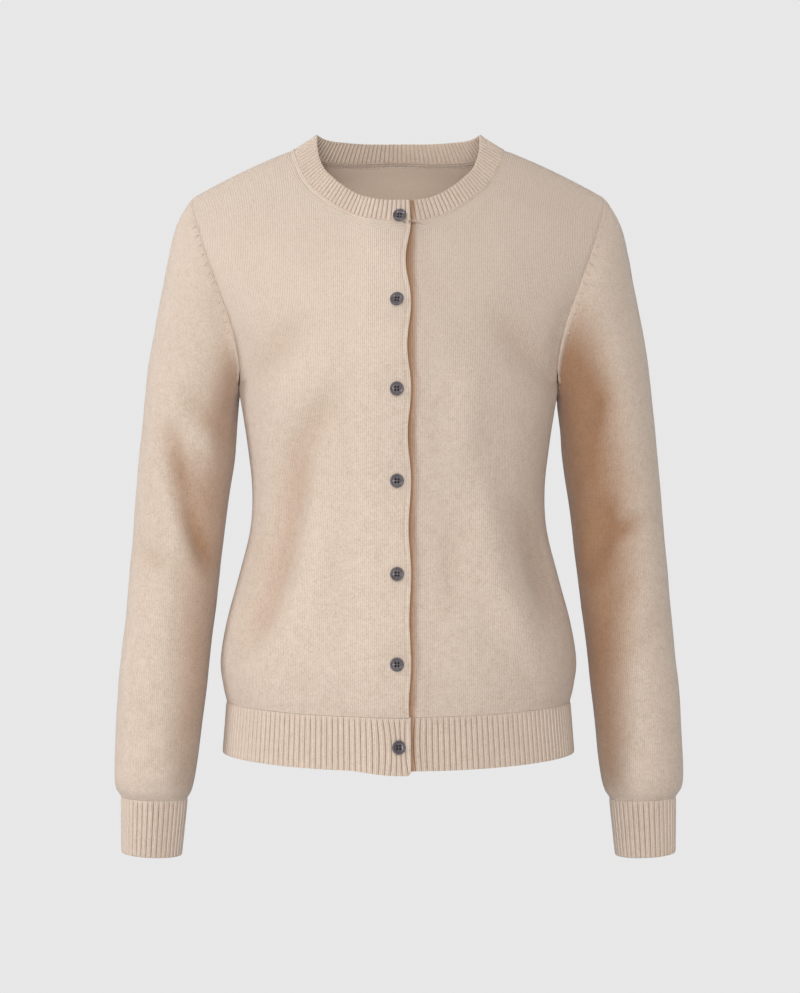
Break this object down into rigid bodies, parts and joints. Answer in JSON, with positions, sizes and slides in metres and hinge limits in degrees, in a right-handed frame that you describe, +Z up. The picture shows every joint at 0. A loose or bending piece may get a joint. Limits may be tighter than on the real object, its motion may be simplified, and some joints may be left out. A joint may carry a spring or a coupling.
{
  "type": "button cardigan",
  "caption": "Fine-knit long-sleeved cardigan with a round ribbed neck, buttoned front, and ribbed hem and cuffs, shown filled out as worn.",
  "frame": {"origin": "middle of the neck opening, level with the shoulder seams' neck ends, where the garment is carried on the wearer's shoulders", "axes": "+Z up, -Y to the front, -X to the wearer's right"},
  "size_m": [0.5116, 0.2404, 0.6538],
  "materials": {
    "jersey": "oatmeal fine jersey knit, softly brushed, matt",
    "rib": "oatmeal rib knit, matt",
    "button": "dark grey-brown horn-effect resin, polished"
  },
  "bodies": {
    "root": {"back": "jersey", "front_right": "jersey", "front_left": "jersey", "sleeve_right": "jersey", "sleeve_left": "jersey", "neckband": "rib", "hem_rib_back": "rib", "hem_rib_right": "rib", "hem_rib_left": "rib", "cuff_right": "rib", "cuff_left": "rib", "button_1": "button", "button_2": "button", "button_3": "button", "button_4": "button", "button_5": "button", "button_6": "button", "button_7": "button"}
  },
  "joints": []
}
